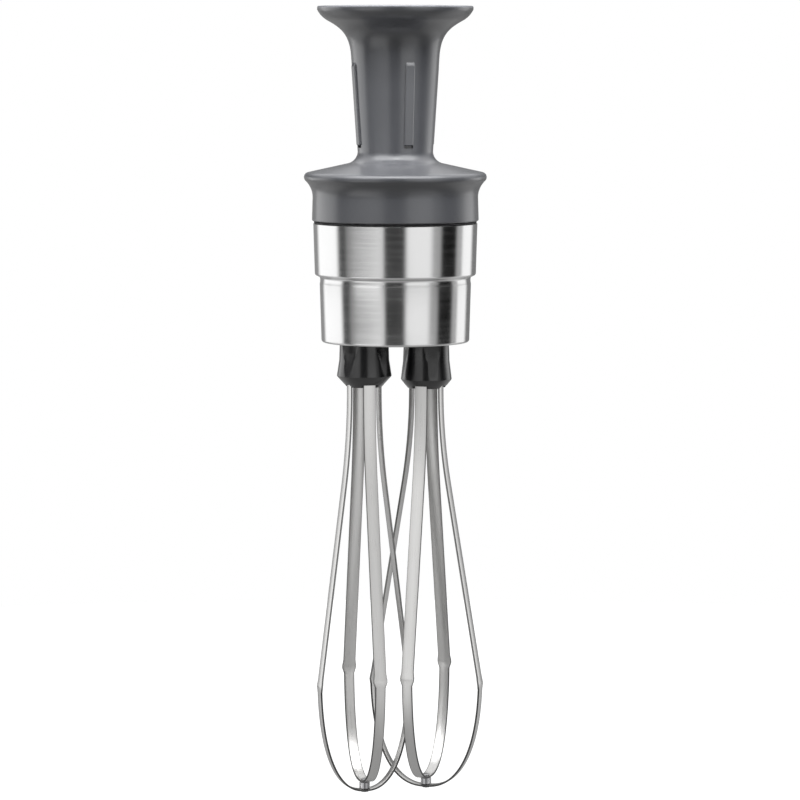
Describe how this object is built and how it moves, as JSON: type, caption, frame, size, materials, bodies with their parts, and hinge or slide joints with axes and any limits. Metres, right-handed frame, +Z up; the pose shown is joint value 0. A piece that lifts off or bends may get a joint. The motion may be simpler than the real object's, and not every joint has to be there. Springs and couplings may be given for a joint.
{
  "type": "immersion blender whisk attachment",
  "caption": "Whisk attachment for a commercial immersion blender: moulded coupling head, steel gearbox cup and two counter-rotating whisks of flat steel bands.",
  "frame": {"origin": "centre of the head's top rim, where the attachment locks on to the motor unit", "axes": "+Z up along the head's axis towards the motor unit, X through the two whisk spindles with the left whisk at -X"},
  "size_m": [0.1018, 0.1018, 0.4418],
  "materials": {
    "head_plastic": "satin moulded grey",
    "brushed_cup_steel": "brushed round",
    "hub_plastic": "semi-gloss black",
    "band_steel": "satin strip",
    "machined_steel": "machined",
    "gear_plastic": "natural acetal",
    "case_plastic": "moulded black",
    "bush_bronze": "sintered",
    "seal_rubber": "matte"
  },
  "bodies": {
    "housing": {"socket_shell": "head_plastic", "upper_housing": "head_plastic", "steel_cup": "brushed_cup_steel", "cup_gasket": "seal_rubber", "gearbox_case": "case_plastic", "gearbox_cover": "case_plastic", "tie_screw_1": "machined_steel", "tie_screw_2": "machined_steel", "tie_screw_3": "machined_steel", "tie_screw_4": "machined_steel", "input_bearing_upper": "machined_steel", "input_bearing_lower": "machined_steel", "input_seal": "seal_rubber", "left_spindle_bush_lower": "bush_bronze", "left_spindle_bush_upper": "bush_bronze", "right_spindle_bush_lower": "bush_bronze", "right_spindle_bush_upper": "bush_bronze", "layshaft_bush_lower": "bush_bronze", "layshaft_bush_upper": "bush_bronze", "left_spindle_seal": "seal_rubber", "right_spindle_seal": "seal_rubber"},
    "input": {"drive_coupling": "hub_plastic", "input_shaft": "machined_steel", "shaft_clip": "machined_steel", "input_pinion": "machined_steel"},
    "countershaft": {"layshaft": "machined_steel", "layshaft_pinion": "machined_steel", "layshaft_wheel": "gear_plastic"},
    "left_whisk": {"left_spindle": "machined_steel", "left_sync_gear": "gear_plastic", "final_wheel": "gear_plastic", "left_hub": "hub_plastic", "left_shank": "machined_steel", "left_outer_loop": "band_steel", "left_inner_loop": "band_steel", "left_tip_rivet": "machined_steel"},
    "right_whisk": {"right_spindle": "machined_steel", "right_sync_gear": "gear_plastic", "right_hub": "hub_plastic", "right_shank": "machined_steel", "right_outer_loop": "band_steel", "right_inner_loop": "band_steel", "right_tip_rivet": "machined_steel"}
  },
  "joints": [
    {"name": "left_whisk_spin", "type": "hinge", "parent": "housing", "child": "left_whisk", "pos_m": [-0.0185, 0, -0.187], "axis": [0, 0, 1], "continuous": true},
    {"name": "right_whisk_spin", "type": "hinge", "parent": "housing", "child": "right_whisk", "pos_m": [0.0185, 0, -0.187], "axis": [0, 0, 1], "continuous": true},
    {"name": "countershaft_spin", "type": "hinge", "parent": "housing", "child": "countershaft", "pos_m": [-0.00449, 0.01949, -0.16], "axis": [0, 0, 1], "continuous": true},
    {"name": "input_spin", "type": "hinge", "parent": "housing", "child": "input", "pos_m": [0, 0, -0.1], "axis": [0, 0, 1], "continuous": true}
  ],
  "couplings": [
    {"joint": "right_whisk_spin", "follows": "left_whisk_spin", "ratio": -1},
    {"joint": "countershaft_spin", "follows": "left_whisk_spin", "ratio": -3},
    {"joint": "input_spin", "follows": "left_whisk_spin", "ratio": 9.5}
  ]
}
